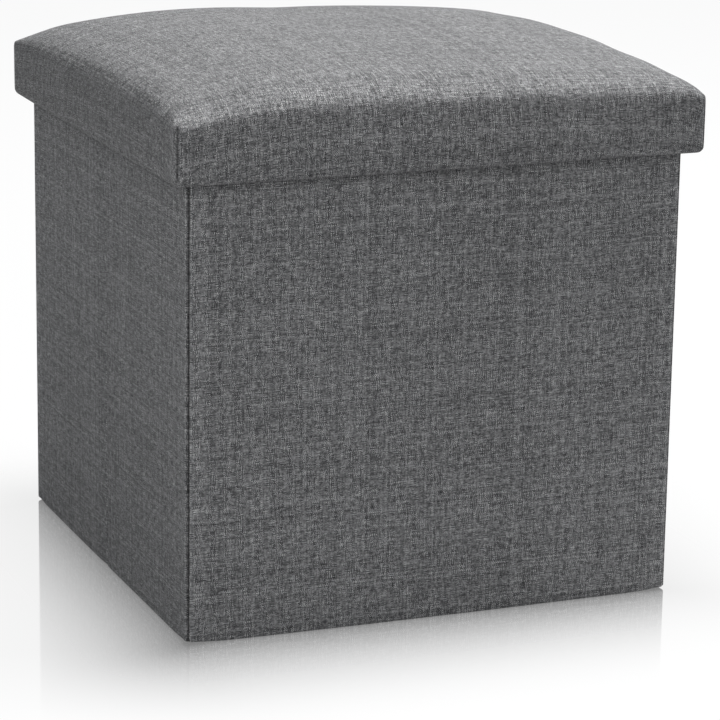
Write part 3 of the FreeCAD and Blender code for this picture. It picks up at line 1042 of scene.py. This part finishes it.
def round_left_shoulder(piece):
    """The left side rolls over into the top at its front half, above the boards inside it."""

    def share_at(x, y, z):
        along = front_share(y) * (1 - ramp(-y / LID_HALF, 0.86, 0.97))
        across = ramp(-x, LID_HALF - 64 * MM, LID_HALF - 30 * MM)
        return 0.6 * along * across * ramp(z, SHOULDER - 1 * MM, SHOULDER + 7 * MM)

    places = places_of(piece)
    shares = np.array([share_at(*place) for place in places])[:, None]
    put_places(piece, relax(piece, places, shares, times=180))


def fill_with_foam(piece, held_below, loose_above, swell):
    """Cloth simulation: a slack top is swollen by pressure while the rim holds the fabric below."""
    held = piece.vertex_groups.new(name="held")
    for vertex in piece.data.vertices:
        outside = max(abs(vertex.co.x), abs(vertex.co.y)) > MOUTH + 4 * MM or vertex.co.z > SHOULDER
        loose = ramp(vertex.co.z, held_below, loose_above) if outside else 0.0
        held.add([vertex.index], 1 - loose, "REPLACE")
        vertex.co.z -= swell * loose * ramp(vertex.co.z, SHOULDER, SHOULDER + 20 * MM)
    start = places_of(piece)
    most, frames = 1.15 * swell, 20
    cloth = piece.modifiers.new("cloth", "CLOTH")
    settings = cloth.settings
    settings.quality = 6
    settings.mass = 0.25
    settings.tension_stiffness = settings.compression_stiffness = 30
    settings.shear_stiffness = 12
    settings.bending_stiffness = 8.0
    settings.vertex_group_mass = "held"
    settings.use_pressure = True
    settings.uniform_pressure_force = 4.0
    settings.effector_weights.gravity = 0.0
    settings.shrink_min = -0.012
    cloth.collision_settings.use_collision = False
    cloth.point_cache.frame_end = frames
    scene = bpy.context.scene
    for moment in range(1, frames + 1):
        scene.frame_set(moment)
    shifts = places_of(piece.evaluated_get(bpy.context.evaluated_depsgraph_get())) - start
    piece.modifiers.remove(cloth)
    lengths = np.linalg.norm(shifts, axis=1)
    shifts *= np.minimum(1, most / np.maximum(lengths, 1e-9))[:, None]
    put_places(piece, start + relax(piece, shifts, share=0.5, times=8))
    piece.vertex_groups.clear()
    scene.frame_set(1)


def subdivide(piece):
    smoother = piece.modifiers.new("subdivision", "SUBSURF")
    smoother.levels = smoother.render_levels = 1
    with bpy.context.temp_override(object=piece):
        bpy.ops.object.modifier_apply(modifier=smoother.name)


def sew_lid_corners(piece):
    """Groove of the seam up each corner of the lid, running out over its rounded top; painted shade in it and
    round the sides.
    """

    def seam_at(x, y, z):
        """Distance to the nearest corner's seam, and how much of the seam there is at that height."""
        if math.hypot(x, y) < math.sqrt(2) * (LID_HALF - 14 * MM):
            return 1.0, 0.0
        there = (1 - ramp(z, SHOULDER - MM, SHOULDER + 6 * MM)) * ramp(z, LID_LOW, LID_LOW + 4 * MM)
        return abs(abs(x) - abs(y)) / math.sqrt(2), there

    def shade(x, y, z):
        """Painted shade: the seam's, and a little all round the sides, up to a little over the shoulder."""
        off, there = seam_at(x, y, z)
        return there * seam_shade(off, 1.3 * MM) + 0.2 * (1 - ramp(z, SHOULDER, SHOULDER + 22 * MM))

    paint_shade(piece, shade)
    for vertex in piece.data.vertices:
        off, there = seam_at(*vertex.co)
        out = Vector((vertex.co.x, vertex.co.y, 0)).normalized()
        vertex.co -= out * seam_groove(off, 0.7 * MM, 1.2 * MM, 0.3 * MM) * there


def lid_cushion():
    cushion = make_piece("lid_cushion", *lid_cushion_mesh(), LINEN, smooth_angle=60)
    fill_with_foam(cushion, SHOULDER - 12 * MM, SHOULDER + 4 * MM, 1.5 * MM)
    subdivide(cushion)
    round_left_shoulder(cushion)
    sew_lid_corners(cushion)
    dress(cushion, "lid", ["lid_cover", "lid_foam"])


def lid_lining():
    """Cloth over the underside of the lid board, tucked in at the turned-in fabric."""
    half = MOUTH - 0.25 * MM

    def place(x, y, upper):
        if upper:
            return x, y, CEILING + 0.55 * MM
        # It stays over the walls' top edges, so that they can fold in under it.
        drawn = 0.3 * MM * ripple(x, y, 0, 55 * MM, 8) + 0.1 * MM * ripple(x, y, 0, 18 * MM, 9)
        return x, y, CEILING + 0.05 * MM + min(0.35 * MM, abs(drawn))

    lines = np.linspace(-half, half, 61)
    lining = slab("lid_inside_lining", lines, lines, place, LINING)
    dress(lining, "lid", ["lid_lining"])


lid_cushion()
lid_lining()


# --- floor, light and camera -----------------------------------------------------------------

def stage_floor():
    """White glossy floor: it shows white, with the object's soft shadow and mirror image.

    The mirror image fades out over a short way from the object's foot.
    """
    size, fade, clearness = 6.0, 0.2, 0.76
    mesh = bpy.data.meshes.new("studio_floor")
    corners = [(-size, -size, 0), (size, -size, 0), (size, size, 0), (-size, size, 0)]
    mesh.from_pydata(corners, [], [(0, 1, 2, 3)])
    f = Finish("studio_floor")
    seen = f.shown()
    grey = f.scaled(seen, 0.45, 0.45)
    matt = f.node("BsdfDiffuse", Color=f.vector(grey, grey, grey))
    plain = f.mix(f.times(seen, 0.9), matt, f.node("Emission"))
    x, y, _ = f.split(f.node("TexCoord").outputs["Object"])
    out_x, out_y = (f.math("MAXIMUM", f.math("SUBTRACT", f.math("ABSOLUTE", place), HALF), 0.0)
                    for place in (x, y))
    away = f.math("SQRT", f.math("ADD", f.times(out_x, out_x), f.times(out_y, out_y)))
    near = f.math("MAXIMUM", f.math("SUBTRACT", 1.0, f.math("DIVIDE", away, fade)), 0.0)
    share = f.times(f.math("POWER", near, 2.5), f.times(seen, clearness))
    mirror = f.node("BsdfGlossy", Roughness=0.05)
    f.put(f.output.inputs["Surface"], f.mix(share, plain, mirror).outputs[0])
    mesh.materials.append(f.material)
    add_object("studio_floor", mesh)


def area_light(name, place, aim, size, watts):
    light = bpy.data.lights.new(name, "AREA")
    light.shape = "SQUARE"
    light.size = size
    light.energy = watts
    lamp = add_object(name, light)
    lamp.location = place
    lamp.rotation_euler = (Vector(aim) - Vector(place)).to_track_quat("-Z", "Y").to_euler()


def studio_world():
    """Pale room: white where it is seen or mirrored, soft grey where it lights the object."""
    world = bpy.data.worlds.new("studio")
    bpy.context.scene.world = world
    world.use_nodes = True
    room = Nodes(world.node_tree)
    background = room.tree.nodes["Background"]
    white = room.shown()
    strength = room.node("MapRange", Value=white, To_Min=0.15, To_Max=1.0)
    room.put(background.inputs["Strength"], strength.outputs[0])
    sky = room.node("Mix", data_type="RGBA", Factor=white, A=(0.94, 1.0, 1.05, 1), B=(1, 1, 1, 1))
    room.put(background.inputs["Color"], sky.outputs["Result"])


def camera():
    """At the photograph's viewing angle: front left and a little above."""
    width = 2 * HALF
    yaw, pitch, roll = (math.radians(a) for a in (21.97, 14.44, 0.86))
    distance, pan_right, pan_up = 6.39 * width, -0.0376 * width, 0.1091 * width
    data = bpy.data.cameras.new("camera")
    data.sensor_width, data.lens = 36.0, 157.4
    turn = (Matrix.Rotation(-yaw, 4, "Z") @ Matrix.Rotation(math.pi / 2 - pitch, 4, "X")
            @ Matrix.Rotation(roll, 4, "Z"))
    back_off = Matrix.Translation((-pan_right, -pan_up, distance))
    eye = add_object("camera", data)
    eye.matrix_world = Matrix.Translation((0, 0, HALF)) @ turn @ back_off
    bpy.context.scene.camera = eye


stage_floor()
studio_world()
area_light("overhead", (1.5, 0.1, 3.0), (0, 0, 0.3), size=1.2, watts=125)
area_light("front_left", (-1.55, -1.75, 1.2), (0, 0, 0.2), size=1.4, watts=19.8)
camera()
bpy.context.scene.view_settings.view_transform = "Standard"
